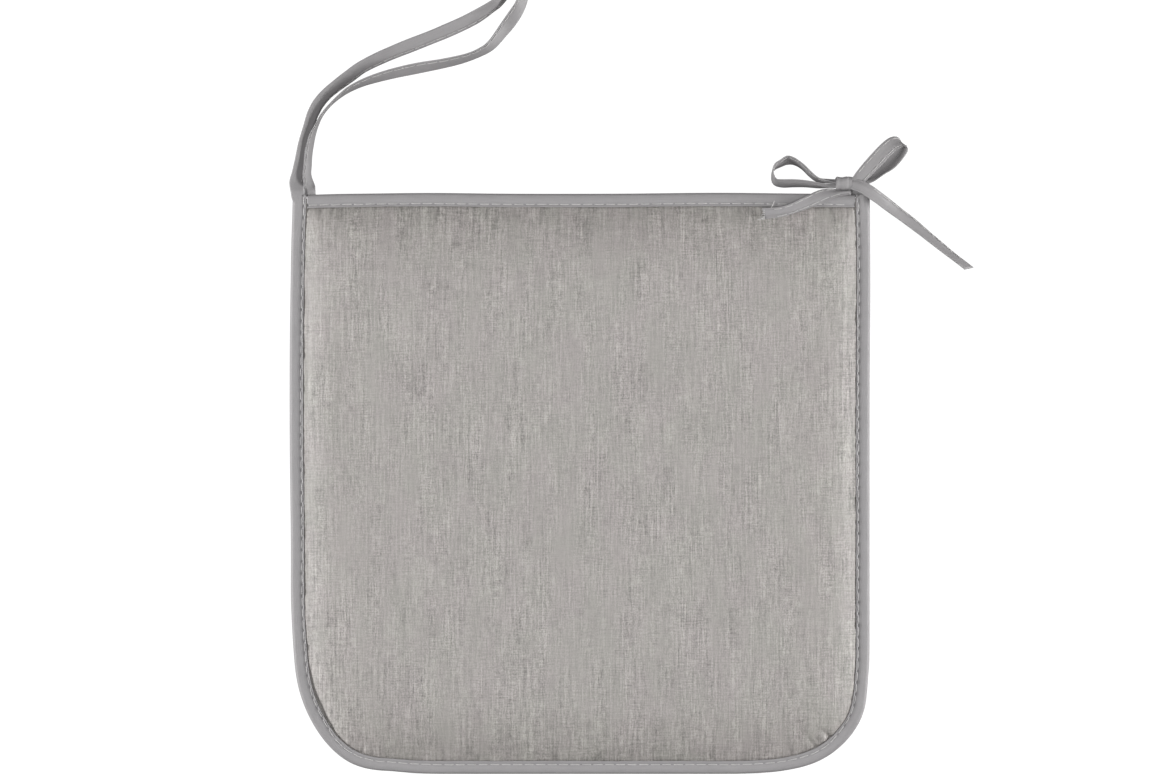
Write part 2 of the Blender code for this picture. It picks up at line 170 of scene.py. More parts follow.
LEFT_INNER_ROUTE = [
    (-185.95, 198.2, 7.6, 180, 0, 0.81, 0),
    (-185.95, 201.3, 8.0, 180, 0, 0.81, 0),
    (-186.1, 203.6, 7.7, 180, 6, 0.80, 0),
    (-186.8, 208.0, 6.9, 178, 42, 0.90, 20),
    (-187.9, 213.6, 6.2, 178, 58, 1.0, 30),
    (-187.5, 220.1, 5.8, 176, 61, 1.0, 30),
    (-187.1, 227.0, 5.6, 172, 63, 1.0, 30),
    (-186.0, 233.9, 5.5, 166, 66, 1.0, 20),
    (-184.3, 240.8, 5.4, 160, 72, 1.0, 10),
    (-181.5, 247.7, 5.4, 154, 83, 1.0, 0),
    (-178.0, 254.6, 5.4, 147, 87, 1.0, 0),
    (-172.3, 261.6, 5.4, 139, 89, 1.0, 0),
    (-165.3, 268.0, 5.4, 131, 84, 1.0, 0),
    (-158.4, 272.8, 5.2, 122, 74, 1.0, 10),
    (-147.6, 277.6, 4.9, 112, 65, 1.0, 20),
    (-131.3, 282.6, 4.6, 106, 52, 1.0, 20),
    (-114.8, 286.4, 4.1, 102, 46, 1.0, 20),
    (-95.0, 290.0, 4.5, 101, 54, 1.0, 20),
    (-78.2, 294.0, 4.7, 108, 62, 1.0, 20),
    (-67.0, 298.8, 4.6, 118, 60, 1.0, 20),
    (-60.4, 303.6, 4.2, 130, 52, 1.0, 10),
    (-53.8, 312.0, 3.2, 142, 38, 1.0, 0),
    (-46.6, 321.6, 2.8, 148, 24, 1.0, 0),
    (-40.4, 332.0, 3.8, 158, 40, 1.0, 0),
    (-37.6, 343.6, 3.9, 168, 42, 1.0, 0),
    (-35.2, 355.0, 2.0, 170, 14, 1.0, 0),
]
RIGHT_OUTER_ROOT_ROUTE = [
    (193.4, 197.9, 8.2, 180, 0, 1.0, 0),
    (193.0, 200.9, 8.0, 180, 0, 1.0, 0),
    (191.9, 203.0, 8.0, 172, 0, 0.92, 10),
    (190.4, 205.0, 8.0, 150, 0, 0.74, 20),
    (188.4, 206.4, 8.0, 120, 0, 0.6, 0),
]
RIGHT_INNER_ROOT_ROUTE = [
    (185.0, 197.7, 7.0, 180, 0, 0.9, 0),
    (184.6, 200.7, 6.8, 180, 0, 0.9, 0),
    (184.4, 201.8, 6.0, 180, 0, 0.8, 0),
    (184.2, 203.0, 5.0, 180, 0, 0.7, 0),
]
LEFT_LOOP_ROUTE = [
    (178.4, 208.2, 8.3, 90, 76, 0.29, 0),
    (176.0, 208.5, 8.2, 90, 76, 0.29, 0),
    (171.5, 208.9, 8.0, 90, 74, 0.5, 10),
    (164.6, 209.9, 7.4, 90, 72, 0.85, 20),
    (159.7, 213.5, 6.7, 88, 72, 0.98, 20),
    (155.4, 217.9, 6.1, 86, 72, 1.0, 20),
    (151.6, 220.9, 5.7, 84, 70, 1.0, 20),
    (147.4, 223.0, 5.4, 88, 62, 1.0, 20),
    (143.4, 223.5, 5.2, 92, 54, 1.0, 10),
    (139.4, 221.6, 5.2, 96, 62, 1.0, 0),
    (135.6, 219.4, 5.2, 100, 66, 1.0, 0),
    (133.6, 216.4, 5.3, 90, 74, 1.0, 0),
    (133.6, 211.8, 5.3, 80, 74, 1.0, 0),
    (135.6, 208.4, 5.2, 70, 66, 1.0, 0),
    (140.4, 207.4, 5.2, 86, 60, 1.0, 0),
    (147.3, 207.3, 5.4, 90, 62, 1.0, 20),
    (156.3, 206.9, 6.1, 90, 66, 0.98, 30),
    (165.9, 205.7, 7.1, 90, 70, 0.8, 20),
    (171.0, 205.3, 7.6, 90, 73, 0.5, 10),
    (176.0, 205.3, 7.8, 90, 76, 0.29, 0),
    (178.4, 205.5, 7.7, 90, 76, 0.29, 0),
]
RIGHT_LOOP_ROUTE = [
    (187.0, 206.6, 10.4, 120, 0, 0.5, 0),
    (191.4, 209.2, 11.1, 132, 0, 0.84, 10),
    (197.0, 215.3, 11.4, 135, 0, 1.0, 10),
    (204.0, 222.8, 11.2, 135, 0, 1.09, 0),
    (210.9, 230.1, 10.9, 135, -3, 1.09, 0),
    (216.3, 234.5, 10.2, 134, -10, 1.06, 0),
    (221.2, 235.3, 8.9, 132, -26, 1.06, 0),
    (223.2, 232.6, 7.2, 131, -38, 1.12, 0),
    (220.3, 227.5, 6.0, 133, -42, 1.15, 0),
    (214.2, 220.8, 5.6, 134, -42, 1.15, 0),
    (207.7, 216.3, 5.6, 135, -42, 1.08, 10),
    (201.6, 211.4, 6.0, 138, -36, 0.86, 10),
    (196.0, 208.8, 6.8, 140, -20, 0.66, 10),
    (190.5, 206.8, 8.0, 120, -10, 0.5, 0),
    (186.6, 206.6, 8.4, 95, 0, 0.4, 0),
]
LEFT_TAIL_ROUTE = [
    (186.6, 201.3, 10.2, 270, 56, 0.50, 0),
    (179.7, 200.8, 10.4, 268, 50, 0.62, 10),
    (172.8, 200.1, 11.1, 262, 27, 0.85, 20),
    (165.9, 198.0, 11.5, 256, 10, 0.94, 20),
    (159.0, 194.9, 11.9, 252, 0, 0.92, 10),
    (152.1, 192.0, 12.8, 249, -10, 0.88, 0),
    (145.2, 189.2, 13.6, 251, -16, 0.82, 0),
    (138.3, 187.2, 14.0, 258, -18, 0.80, 0),
    (131.4, 186.4, 14.2, 265, -16, 0.82, 0),
    (126.6, 186.2, 14.2, 266, -12, 0.84, 0),
]
RIGHT_TAIL_ROUTE = [
    (184.6, 207.2, 9.2, 88, 0, 0.5, 0),
    (188.4, 206.6, 11.4, 78, 0, 0.80, 0),
    (194.0, 204.6, 12.9, 64, -3, 0.88, 10),
    (200.1, 201.0, 12.8, 56, -6, 0.92, 10),
    (206.9, 196.5, 10.9, 53, -14, 0.89, 10),
    (214.0, 191.4, 8.4, 52, -26, 0.95, 10),
    (221.1, 186.4, 6.4, 51, -36, 1.0, 10),
    (228.0, 181.4, 5.2, 51, -38, 1.0, 10),
    (238.4, 173.0, 4.7, 51, -43, 1.0, 0),
    (248.7, 164.6, 4.8, 52, -50, 1.0, 0),
    (258.0, 157.2, 5.0, 53, -54, 1.0, 0),
    (269.0, 148.8, 5.0, 54, -54, 1.0, 0),
]


# -------------------- small helpers

def smooth(t):
    """0 up to 0, 1 from 1 on, and an eased curve between."""
    t = min(max(t, 0.0), 1.0)
    return t * t * (3 - 2 * t)


def wander(seed, *place):
    """Smooth noise from about -1 to 1; place is in units of its own wavelength."""
    place = list(place) + [0.0] * (2 - len(place))
    return noise.noise(Vector((place[0], place[1], seed * 7.31)))


def add_mesh(name, points, faces, material, uvs=None):
    """A smooth-shaded mesh object; uvs, one per point, are in millimetres."""
    mesh = bpy.data.meshes.new(name)
    mesh.from_pydata([tuple(p) for p in points], [], faces)
    if uvs:
        layer = mesh.uv_layers.new(name="Lay")
        for loop in mesh.loops:
            layer.data[loop.index].uv = uvs[loop.vertex_index]
    mesh.materials.append(material)
    mesh.shade_smooth()
    item = bpy.data.objects.new(name, mesh)
    bpy.context.scene.collection.objects.link(item)
    return item


def band_faces(rows, columns, closed=True):
    """Quads between neighbouring rows of points, each row closed on itself or open."""
    faces = []
    for r in range(rows - 1):
        for c in range(columns if closed else columns - 1):
            d = (c + 1) % columns
            low, high = r * columns, (r + 1) * columns
            faces.append((low + c, low + d, high + d, high + c))
    return faces


def closed_tube(rows, sides, first):
    """Faces of a tube whose points start at first: its rings, then a cap at each end."""
    faces = [tuple(first + index for index in face) for face in band_faces(rows, sides)]
    end = first + (rows - 1) * sides
    faces.append(tuple(range(first, first + sides))[::-1])
    faces.append(tuple(range(end, end + sides)))
    return faces


# -------------------- materials

class Paint:
    """A Principled material whose colour and bump come from nodes."""

    def __init__(self, name, roughness, gloss=0.25):
        self.material = bpy.data.materials.new(name)
        self.material.use_nodes = True
        self.tree = self.material.node_tree
        self.shader = self.tree.nodes["Principled BSDF"]
        self.shader.inputs["Roughness"].default_value = roughness
        self.shader.inputs["Specular IOR Level"].default_value = gloss

    def node(self, kind, **inputs):
        """A new node with its inputs set or linked; an underscore stands for a space."""
        item = self.tree.nodes.new(kind)
        for key, value in inputs.items():
            self.feed(item.inputs[key.replace("_", " ")], value)
        return item

    def feed(self, socket, value):
        if isinstance(value, bpy.types.NodeSocket):
            self.tree.links.new(value, socket)
        else:
            socket.default_value = value

    def calc(self, operation, a, b, c=0.0):
        item = self.tree.nodes.new("ShaderNodeMath")
        item.operation = operation
        for socket, value in zip(item.inputs, (a, b, c)):
            self.feed(socket, value)
        return item.outputs[0]

    def place(self, use_uv=False):
        """Coordinates in millimetres: along the tape's UVs, or in the object's own space."""
        if use_uv:
            item = self.tree.nodes.new("ShaderNodeUVMap")
            item.uv_map = "Lay"
            return item.outputs["UV"]
        source = self.tree.nodes.new("ShaderNodeTexCoord").outputs["Object"]
        return self.stretch(source, (1000, 1000, 1000))

    def stretch(self, vector, scale, shift=(0, 0, 0)):
        item = self.node("ShaderNodeMapping", Vector=vector, Scale=scale, Location=shift)
        return item.outputs[0]

    def cloud(self, vector, lengths, detail=1.0, shift=(0, 0, 0)):
        """Noise whose grains measure about lengths, in millimetres."""
        scaled = self.stretch(vector, tuple(1 / length for length in lengths), shift)
        item = self.node("ShaderNodeTexNoise", Vector=scaled, Scale=1.0, Detail=detail, Roughness=0.6)
        return item.outputs["Fac"]

    def weave(self, vector, pitch):
        """Over-and-under humps of a plain weave, from -1 to 1."""
        parts = self.node("ShaderNodeSeparateXYZ", Vector=vector)
        waves = []
        for axis in "XY":
            angle = self.calc("MULTIPLY", parts.outputs[axis], math.pi / pitch)
            waves.append(self.calc("SINE", angle, 0.0))
        return self.calc("MULTIPLY", waves[0], waves[1])

    def blend(self, layers):
        """Adds layers of (noise, weight), each taken about its middle value."""
        total = 0.0
        for layer, weight in layers:
            centred = self.calc("SUBTRACT", layer, 0.5)
            total = self.calc("MULTIPLY_ADD", centred, weight, total)
        return total

    def tint(self, colour, change):
        """The colour made lighter or darker by change."""
        factor = self.calc("ADD", change, 1.0)
        grey = self.node("ShaderNodeCombineXYZ", X=factor, Y=factor, Z=factor)
        item = self.tree.nodes.new("ShaderNodeVectorMath")
        item.operation = "MULTIPLY"
        self.feed(item.inputs[0], grey.outputs[0])
        self.feed(item.inputs[1], colour)
        return item.outputs[0]

    def finish(self, colour, height, depth):
        """Links the colour and the bump, whose full height is depth."""
        self.feed(self.shader.inputs["Base Color"], colour)
        bump = self.node("ShaderNodeBump", Height=height, Distance=depth, Strength=1.0)
        self.feed(self.shader.inputs["Normal"], bump.outputs[0])
        return self.material


def cover_material():
    """Linen-look plain weave: slubs along the warp, fewer along the weft, and mottled dye."""
    paint = Paint("cover_weave", 0.52, 0.5)
    at = paint.place()
    warp_fine = paint.cloud(at, (0.9, 7.0, 20.0), 2.0)
    warp_long = paint.cloud(at, (1.5, 34.0, 20.0), 1.0, (3.1, 0.4, 0))
    weft = paint.cloud(at, (9.0, 0.9, 20.0), 2.0, (0.7, 5.2, 0))
    grain = paint.cloud(at, (0.9, 1.2, 20.0), 1.0, (8.0, 2.5, 0))
    patch = paint.cloud(at, (16.0, 26.0, 40.0), 2.0, (1.3, 9.1, 0))
    change = paint.blend([(warp_fine, 0.95), (warp_long, 0.75), (weft, 0.70),
                          (grain, 0.75), (patch, 0.25)])
    calm = paint.cloud(at, (11.0, 45.0, 40.0), 1.0, (5.5, 2.2, 0))
    change = paint.calc("MULTIPLY", change, paint.calc("MULTIPLY_ADD", calm, 2.1, -0.15))
    cast = paint.cloud(at, (22.0, 30.0, 40.0), 2.0, (4.4, 7.7, 0))
    ramp = paint.node("ShaderNodeValToRGB", Fac=cast)
    ramp.color_ramp.elements[0].position = 0.35
    ramp.color_ramp.elements[0].color = (0.295, 0.2835, 0.265, 1)
    ramp.color_ramp.elements[1].position = 0.65
    ramp.color_ramp.elements[1].color = (0.302, 0.281, 0.271, 1)
    colour = paint.tint(ramp.outputs["Color"], change)
    slubs = paint.blend([(warp_fine, 0.9), (weft, 0.6), (warp_long, 0.5)])
    height = paint.calc("MULTIPLY_ADD", paint.weave(at, 0.52), 0.28, slubs)
    return paint.finish(colour, height, 0.10 * MM)


def tape_material():
    """Fine, evenly woven cotton tape with faint lengthwise yarns."""
    paint = Paint("tape_weave", 0.52, 0.5)
    at = paint.place(use_uv=True)
    yarns = paint.cloud(at, (0.5, 18.0, 1.0), 1.0)
    picks = paint.cloud(at, (5.0, 0.5, 1.0), 1.0, (2.0, 4.0, 0))
    wear = paint.cloud(at, (6.0, 12.0, 1.0), 2.0, (7.0, 1.0, 0))
    change = paint.blend([(yarns, 0.16), (picks, 0.12), (wear, 0.14)])
    colour = paint.tint((0.252, 0.244, 0.248), change)
    yarn_height = paint.blend([(yarns, 0.6), (picks, 0.4)])
    height = paint.calc("MULTIPLY_ADD", paint.weave(at, 0.36), 0.3, yarn_height)
    return paint.finish(colour, height, 0.06 * MM)


def thread_material():
    """Spun sewing thread: slanting plies along its length."""
    paint = Paint("thread_ply", 0.5, 0.4)
    at = paint.place(use_uv=True)
    parts = paint.node("ShaderNodeSeparateXYZ", Vector=at)
    slant = paint.calc("MULTIPLY_ADD", parts.outputs["Y"], 7.0, parts.outputs["X"])
    plies = paint.calc("SINE", slant, 0.0)
    fluff = paint.cloud(at, (0.5, 2.0, 1.0), 1.0)
    colour = paint.tint((0.47, 0.46, 0.455), paint.blend([(fluff, 0.4)]))
    return paint.finish(colour, plies, 0.05 * MM)


def foam_material():
    """Open-cell foam: round cells and a slight yellowing."""
    paint = Paint("foam_cells", 0.95)
    at = paint.place()
    cells = paint.node("ShaderNodeTexVoronoi", Vector=at, Scale=0.9)
    age = paint.cloud(at, (40.0, 40.0, 10.0), 2.0)
    ramp = paint.node("ShaderNodeValToRGB", Fac=age)
    ramp.color_ramp.elements[0].color = (0.86, 0.80, 0.60, 1)
    ramp.color_ramp.elements[1].color = (0.84, 0.82, 0.72, 1)
    shade = paint.calc("MULTIPLY_ADD", cells.outputs["Distance"], -0.3, 0.1)
    return paint.finish(paint.tint(ramp.outputs["Color"], shade), cells.outputs["Distance"], 0.3 * MM)


# -------------------- camera, lights and floor

VIEW_CENTRE = Vector((0.0003, 0.0668, 0.0))
VIEW_WIDTH = 0.8029
LENS = 100.0
SENSOR = 36.0
FLOOR_REACH = 30.0


def make_camera():
    """Straight down on the pad, from far enough that its sides look parallel."""
    data = bpy.data.cameras.new("camera")
    data.lens = LENS
    data.sensor_width = SENSOR
    camera = bpy.data.objects.new("camera", data)
    bpy.context.scene.collection.objects.link(camera)
    camera.location = VIEW_CENTRE + Vector((0, 0, VIEW_WIDTH * LENS / SENSOR))
    bpy.context.scene.camera = camera


def area_light(name, place, target, size, power):
    """A rectangular lamp at place, turned towards target."""
    data = bpy.data.lights.new(name, "AREA")
    data.shape = "RECTANGLE"
    data.size, data.size_y = size
    data.energy = power
    light = bpy.data.objects.new(name, data)
    bpy.context.scene.collection.objects.link(light)
    light.location = place
    light.rotation_euler = (Vector(target) - Vector(place)).to_track_quat("-Z", "Y").to_euler()


def make_studio():
    """A bright floor, with a long low softbox on each side of the pad."""
    scene = bpy.context.scene
    scene.view_settings.view_transform = "Standard"
    world = bpy.data.worlds.new("studio")
    world.use_nodes = True
    back = world.node_tree.nodes["Background"]
    back.inputs["Color"].default_value = (1.0, 1.0, 1.0, 1)
    back.inputs["Strength"].default_value = 0.1
    scene.world = world
    area_light("overhead", (0, -0.1, 3.0), (0, 0.02, 0), (0.5, 0.5), 39.0)
    for side in (-1, 1):
        place = (side * 1.7, 0.02, 0.52)
        area_light(f"softbox_{side + 2}", place, (0, 0.02, 0), (1.6, 0.4), 43.0)
    paint = Paint("pale_floor", 0.9)
    paint.shader.inputs["Base Color"].default_value = (0.1, 0.1, 0.1, 1)
    paint.shader.inputs["Emission Color"].default_value = (1, 1, 1, 1)
    paint.shader.inputs["Emission Strength"].default_value = 0.97
    corners = [(x * FLOOR_REACH, y * FLOOR_REACH, 0) for x, y in ((-1, -1), (1, -1), (1, 1), (-1, 1))]
    floor = add_mesh("floor", corners, [(0, 1, 2, 3)], paint.material)
    floor.location.z = -0.4 * MM
    floor.visible_diffuse = False
    floor.visible_glossy = False


# -------------------- outline of the pad

def drawn_in(edge, place):
    """How far an edge is drawn in at one place along it."""
    total = 0.0
    for centre, reach, depth in edge:
        total += depth * math.exp(-((place / MM - centre) / reach) ** 2)
    return total * MM


def bow(x, y):
    """Draws a point in towards the middle, as far as the seams draw in the edges beside it."""
    across = drawn_in(LEFT_DRAW if x < 0 else RIGHT_DRAW, y)
    along = drawn_in(FRONT_DRAW if y < 0 else BACK_DRAW, x)
    return x * (1 - across / HALF), y * (1 - along / HALF)


def half_rim(corner, side):
    """Stations from mid-front, round one front corner, to the back: (edge point, way inwards)."""
    reach_x, reach_y = corner
    centre_x, centre_y = HALF - reach_x, HALF - reach_y
    rows = []
    count = round(centre_x / RIM_STEP)
    for i in range(count):
        rows.append(((centre_x * i / count, -HALF), (0.0, 1.0)))
    count = round(math.pi / 4 * (reach_x + reach_y) / RIM_STEP)
    for i in range(count):
        angle = math.pi / 2 * (i / count - 1)
        turn = (math.cos(angle), math.sin(angle))
        rows.append(((centre_x + reach_x * turn[0], reach_y * turn[1] - centre_y), (-turn[0], -turn[1])))
    count = round((HALF + centre_y) / RIM_STEP)
    for i in range(count + 1):
        rows.append(((HALF, -centre_y + (HALF + centre_y) * i / count), (-1.0, 0.0)))
    return [((side * x, y), (side * dx, dy)) for (x, y), (dx, dy) in rows]


def perimeter_stations():
    """From the back left corner, down the left side, round the front, up to the back right."""
    return half_rim(LEFT_CORNER, -1)[:0:-1] + half_rim(RIGHT_CORNER, 1)


def back_stations():
    """Along the back edge, between the ends of the longer tape."""
    reach = HALF - BINDING_WIDTH - 0.2 * MM
    count = round(2 * reach / RIM_STEP)
    return [((reach * (2 * i / count - 1), HALF), (0.0, -1.0)) for i in range(count + 1)]


def rim_point(station, inset, z):
    """The point at a station, inset from the edge and bowed with it."""
    (x, y), (dx, dy) = station
    return Vector((*bow(x + dx * inset, y + dy * inset), z))


def run_lengths(points):
    """Distance of each point along the line through them all."""
    lengths = [0.0]
    for a, b in zip(points, points[1:]):
        lengths.append(lengths[-1] + (b - a).length)
    return lengths


def locate(runs, run):
    """The point before a place along a line, and the share of the way to the next point."""
    k = min(max(bisect.bisect_right(runs, run) - 1, 0), len(runs) - 2)
    return k, (run - runs[k]) / (runs[k + 1] - runs[k])


def side_share(x, y):
    """1 beside the left and right edges, 0 beside the front and back, blended at the corners."""
    return smooth((abs(x) - abs(y)) / CORNER_BLEND + 0.5)


def edge_value(values, x, y):
    """The value for the pad's edge nearest to a point, blended round the corners."""
    side = values["left"] if x < 0 else values["right"]
    end = values["front"] if y < 0 else values["back"]
    return (end + (side - end) * side_share(x, y)) * MM


# -------------------- cushion

def corner_inset(corner, x, y):
    """Inset of a point inside a rounded corner; x and y are measured from the curve's centre."""
    low, high = 0.0, min(corner) - 0.01 * MM
    for _ in range(24):
        middle = (low + high) / 2
        if (x / (corner[0] - middle)) ** 2 + (y / (corner[1] - middle)) ** 2 > 1:
            high = middle
        else:
            low = middle
    return low


def soft_min(a, b):
    """The smaller of two insets, rounding their corner off except beside the tape."""
    soft = min(max(2 * (min(a, b) - BINDING_WIDTH), 0.1 * MM), CORNER_SOFTNESS)
    lap = max(soft - abs(a - b), 0.0) / soft
    return min(a, b) - lap * lap * soft / 4


def pad_place(u, v):
    """Where a point of the unit square lies on the pad, its front corners pulled round."""
    x, y = u * HALF, v * HALF
    corner = RIGHT_CORNER if u > 0 else LEFT_CORNER
    centre_x, centre_y = HALF - corner[0], HALF - corner[1]
    a = (abs(x) - centre_x) / corner[0]
    b = (-y - centre_y) / corner[1]
    if a > 0 and b > 0:
        x = math.copysign(centre_x + a * math.sqrt(1 - b * b / 2) * corner[0], x)
        y = -centre_y - b * math.sqrt(1 - a * a / 2) * corner[1]
    return x, y


def dome(inset, foot, crown, crown_inset, start=BINDING_WIDTH):
    """A flat flange at foot, then a curve from start that levels out at crown."""
    rise = (inset - start) / (crown_inset - start)
    rise = min(max(rise, 0.0), 1.0)
    return foot + (crown - foot) * (1 - (1 - rise) ** 2)


def swell(sheet, pins):
    """Puffs a pinned sheet out as cloth under pressure; no point moves past SWELL_LIMIT."""
    rest = [v.co.copy() for v in sheet.data.vertices]
    group = sheet.vertex_groups.new(name="seam")
    group.add(pins, 1.0, "REPLACE")
    cloth = sheet.modifiers.new("Cloth", "CLOTH")
    cloth.settings.quality = 4
    cloth.settings.mass = 0.2
    cloth.settings.tension_stiffness = CLOTH_STIFFNESS
    cloth.settings.compression_stiffness = CLOTH_STIFFNESS
    cloth.settings.bending_stiffness = 0.8
    cloth.settings.use_pressure = True
    cloth.settings.uniform_pressure_force = 4.0
    cloth.settings.vertex_group_mass = "seam"
    cloth.settings.effector_weights.gravity = 0.0
    cloth.collision_settings.use_collision = False
    scene = bpy.context.scene
    for step in range(1, CLOTH_STEPS + 1):
        scene.frame_set(step)
    shaped = sheet.evaluated_get(bpy.context.evaluated_depsgraph_get())
    moved = [v.co.copy() for v in shaped.data.vertices]
    sheet.modifiers.remove(cloth)
    sheet.vertex_groups.remove(group)
    scene.frame_set(1)
    for vertex, old, new in zip(sheet.data.vertices, rest, moved):
        shift = new - old
        if shift.length > SWELL_LIMIT:
            shift = shift * (SWELL_LIMIT / shift.length)
        vertex.co = old + shift


def pucker(run, past, seed):
    """Depth of the small gathers that the seam pulls into the cover, past the tape's edge."""
    length = 5.0 * MM + 9.0 * MM * abs(wander(seed + 1, run / 0.011))
    fade = math.exp(-(past / length) ** 2) if past > 0 else 1.0
    pull = max(wander(seed, run / 0.0048) + 0.1, 0.0)
    pull += 0.7 * max(wander(seed + 2, run / 0.0079), 0.0)
    pull += 0.5 * max(wander(seed + 3, run / 0.0027) + 0.1, 0.0)
    return GATHER_DEPTH * fade * pull


def margin(past, start, rise, hold, fade):
    """Share of a margin's swelling: it rises beside the tape and fades further in."""
    return smooth((past - start) / rise) * (1 - smooth((past - hold) / fade))


def cover_dip(x, y, inset, run, side, seed):
    """How far a point of a cover lies inside its dome, in millimetres; less than 0 is outside."""
    past = inset - edge_value(TAPE_WIDTHS, x, y)
    on_side = side_share(x, y)
    creased = math.exp(-(math.dist((x, y), CREASE_PLACE) / CREASE_REACH) ** 2)
    dip = pucker(run + (RIGHT_RUN_SHIFT if x > 0 else 0.0), past, seed) * (1 - 0.7 * on_side)
    dip += CREASE_DEPTH * creased * math.exp(-(past / CREASE_WIDTH) ** 2)
    side_margin = margin(past, -1.3 * MM, 1.5 * MM, 1.0 * MM, 40.0 * MM)
    dip -= SIDE_SWELL[side] * on_side * (1 - creased) * side_margin
    dip -= END_SWELL * (1 - on_side) * margin(past, 0.0, 1.4 * MM, 2.0 * MM, 25.0 * MM)
    dip *= 0.85
    if side == "top":
        rumple = 0.12 * wander(seed + 5, x / 0.055, y / 0.05)
        rumple += 0.06 * wander(seed + 6, x / 0.02, y / 0.03)
        dip -= rumple * smooth((inset - BINDING_WIDTH) / 0.02)
    return dip


def spread(k, count):
    """Grid places from -1 to 1, closer together towards the ends."""
    t = 2 * k / count - 1
    return t + 0.5 * math.sin(math.pi * t) / math.pi


def cloth_grid(count, squeeze):
    """A square grid laid over the pad out to one inset: points without height, insets, runs."""
    points, insets, runs = [], [], []
    for row in range(count + 1):
        for column in range(count + 1):
            x, y = pad_place(spread(column, count), spread(row, count))
            x, y = x * squeeze, y * squeeze
            inset, run = inset_at(x, y)
            points.append(Vector((*bow(x, y), 0.0)))
            insets.append(inset)
            runs.append(run)
    return points, insets, runs


def make_cover(name, side, crown, crown_inset, seed, material):
    """A cover as one sheet on a grid: swollen by pressure, gathered at its seam, then thickened."""
    inward = -1 if side == "top" else 1
    foot = EDGE_Z - inward * (COVER_GAP + COVER_THICKNESS)
    points, insets, runs = cloth_grid(GRID, 1 - FLANGE_INSET / HALF)
    for point, inset in zip(points, insets):
        start = edge_value(TAPE_WIDTHS, *point.xy)
        if side == "top":
            start -= 2 * edge_value(LIP_LIFTS, *point.xy)
        point.z = dome(inset, foot, crown, crown_inset, start)
    faces = band_faces(GRID + 1, GRID + 1, closed=False)
    if side == "bottom":
        faces = [face[::-1] for face in faces]
    sheet = add_mesh(name, points, faces, material)
    pins = [k for k, inset in enumerate(insets) if inset < PIN_INSET]
    for vertex in sheet.data.vertices:
        vertex.co.z = foot + (vertex.co.z - foot) * START_HEIGHT
    swell(sheet, pins)
    for vertex, target in zip(sheet.data.vertices, points):
        sag = (vertex.co.z - target.z) / SAG_LIMIT
        vertex.co.z = target.z + SAG_LIMIT * math.tanh(sag)
    for key, values in (("inset", insets), ("run", runs)):
        layer = sheet.data.attributes.new(key, "FLOAT", "POINT")
        layer.data.foreach_set("value", values)
    finer = sheet.modifiers.new("Finer", "SUBSURF")
    finer.levels = finer.render_levels = 1
    apply_modifiers(sheet)
    insets = [entry.value for entry in sheet.data.attributes["inset"].data]
    runs = [entry.value for entry in sheet.data.attributes["run"].data]
    for vertex, inset, run in zip(sheet.data.vertices, insets, runs):
        x, y, z = vertex.co
        z += inward * cover_dip(x, y, inset, run, side, seed) * MM
        if side == "top":
            vertex.co.z = max(z, EDGE_Z + COVER_CLEARANCE)
        else:
            vertex.co.z = max(min(z, EDGE_Z - COVER_CLEARANCE), 0.0)
    for key in ("inset", "run"):
        sheet.data.attributes.remove(sheet.data.attributes[key])
    thick = sheet.modifiers.new("Thick", "SOLIDIFY")
    thick.thickness = COVER_THICKNESS
    thick.offset = -1
    apply_modifiers(sheet)
    return sheet


def make_foam(material):
    """The foam slab: the covers' shapes, set in by their thickness and a little slack."""
    points, insets, _ = cloth_grid(FOAM_GRID, 1 - FOAM_INSET / HALF)
    span = FOAM_GRID + 1
    flange = COVER_GAP + COVER_THICKNESS
    top, sole = [], []
    for point, inset in zip(points, insets):
        near_edge = 1 - smooth((inset - FOAM_INSET) / 0.02)
        lining = COVER_THICKNESS + FOAM_SLACK + FOAM_EDGE_SLACK * near_edge
        high = dome(inset, EDGE_Z + flange, CROWN_Z, CROWN_INSET) - lining
        low = dome(inset, EDGE_Z - flange, 0.0, SOLE_INSET) + lining
        high, low = max(high, EDGE_Z + 0.1 * MM), min(low, EDGE_Z - 0.1 * MM)
        top.append(point + Vector((0, 0, high)))
        sole.append(point + Vector((0, 0, low)))
    grid = band_faces(span, span, closed=False)
    under = [tuple(span * span + index for index in face[::-1]) for face in grid]
    rim = list(range(span)) + [r * span + span - 1 for r in range(1, span)]
    rim += [span * span - 1 - c for c in range(1, span)]
    rim += [(span - 1 - r) * span for r in range(1, span - 1)]
    sides = []
    for a, b in zip(rim, rim[1:] + rim[:1]):
        sides.append((b, a, a + span * span, b + span * span))
    return add_mesh("foam_slab", top + sole, grid + under + sides, material)


def inset_at(x, y):
    """Inset and run along the rim of a point on the pad, before it is bowed."""
    corner = RIGHT_CORNER if x > 0 else LEFT_CORNER
    centre_x, centre_y = HALF - corner[0], HALF - corner[1]
    turn = math.pi / 4 * sum(corner)
    side, end = HALF - abs(x), HALF - abs(y)
    across, down = abs(x) - centre_x, -y - centre_y
    if across > 0 and down > 0:
        angle = math.atan2(across / corner[0], down / corner[1])
        return corner_inset(corner, across, down), centre_x + turn * angle / (math.pi / 2)
    if y > 0:
        inset = soft_min(side, end)
    else:
        inset = min(side, end)
    if side < end:
        return inset, centre_x + turn + y + centre_y
    return inset, (abs(x) if y < 0 else 3 * HALF + turn + centre_x - abs(x))


def apply_modifiers(item):
    """Replaces the object's mesh with its evaluated one and drops the modifiers."""
    shaped = item.evaluated_get(bpy.context.evaluated_depsgraph_get())
    mesh = bpy.data.meshes.new_from_object(shaped)
    item.modifiers.clear()
    item.data = mesh


# -------------------- binding

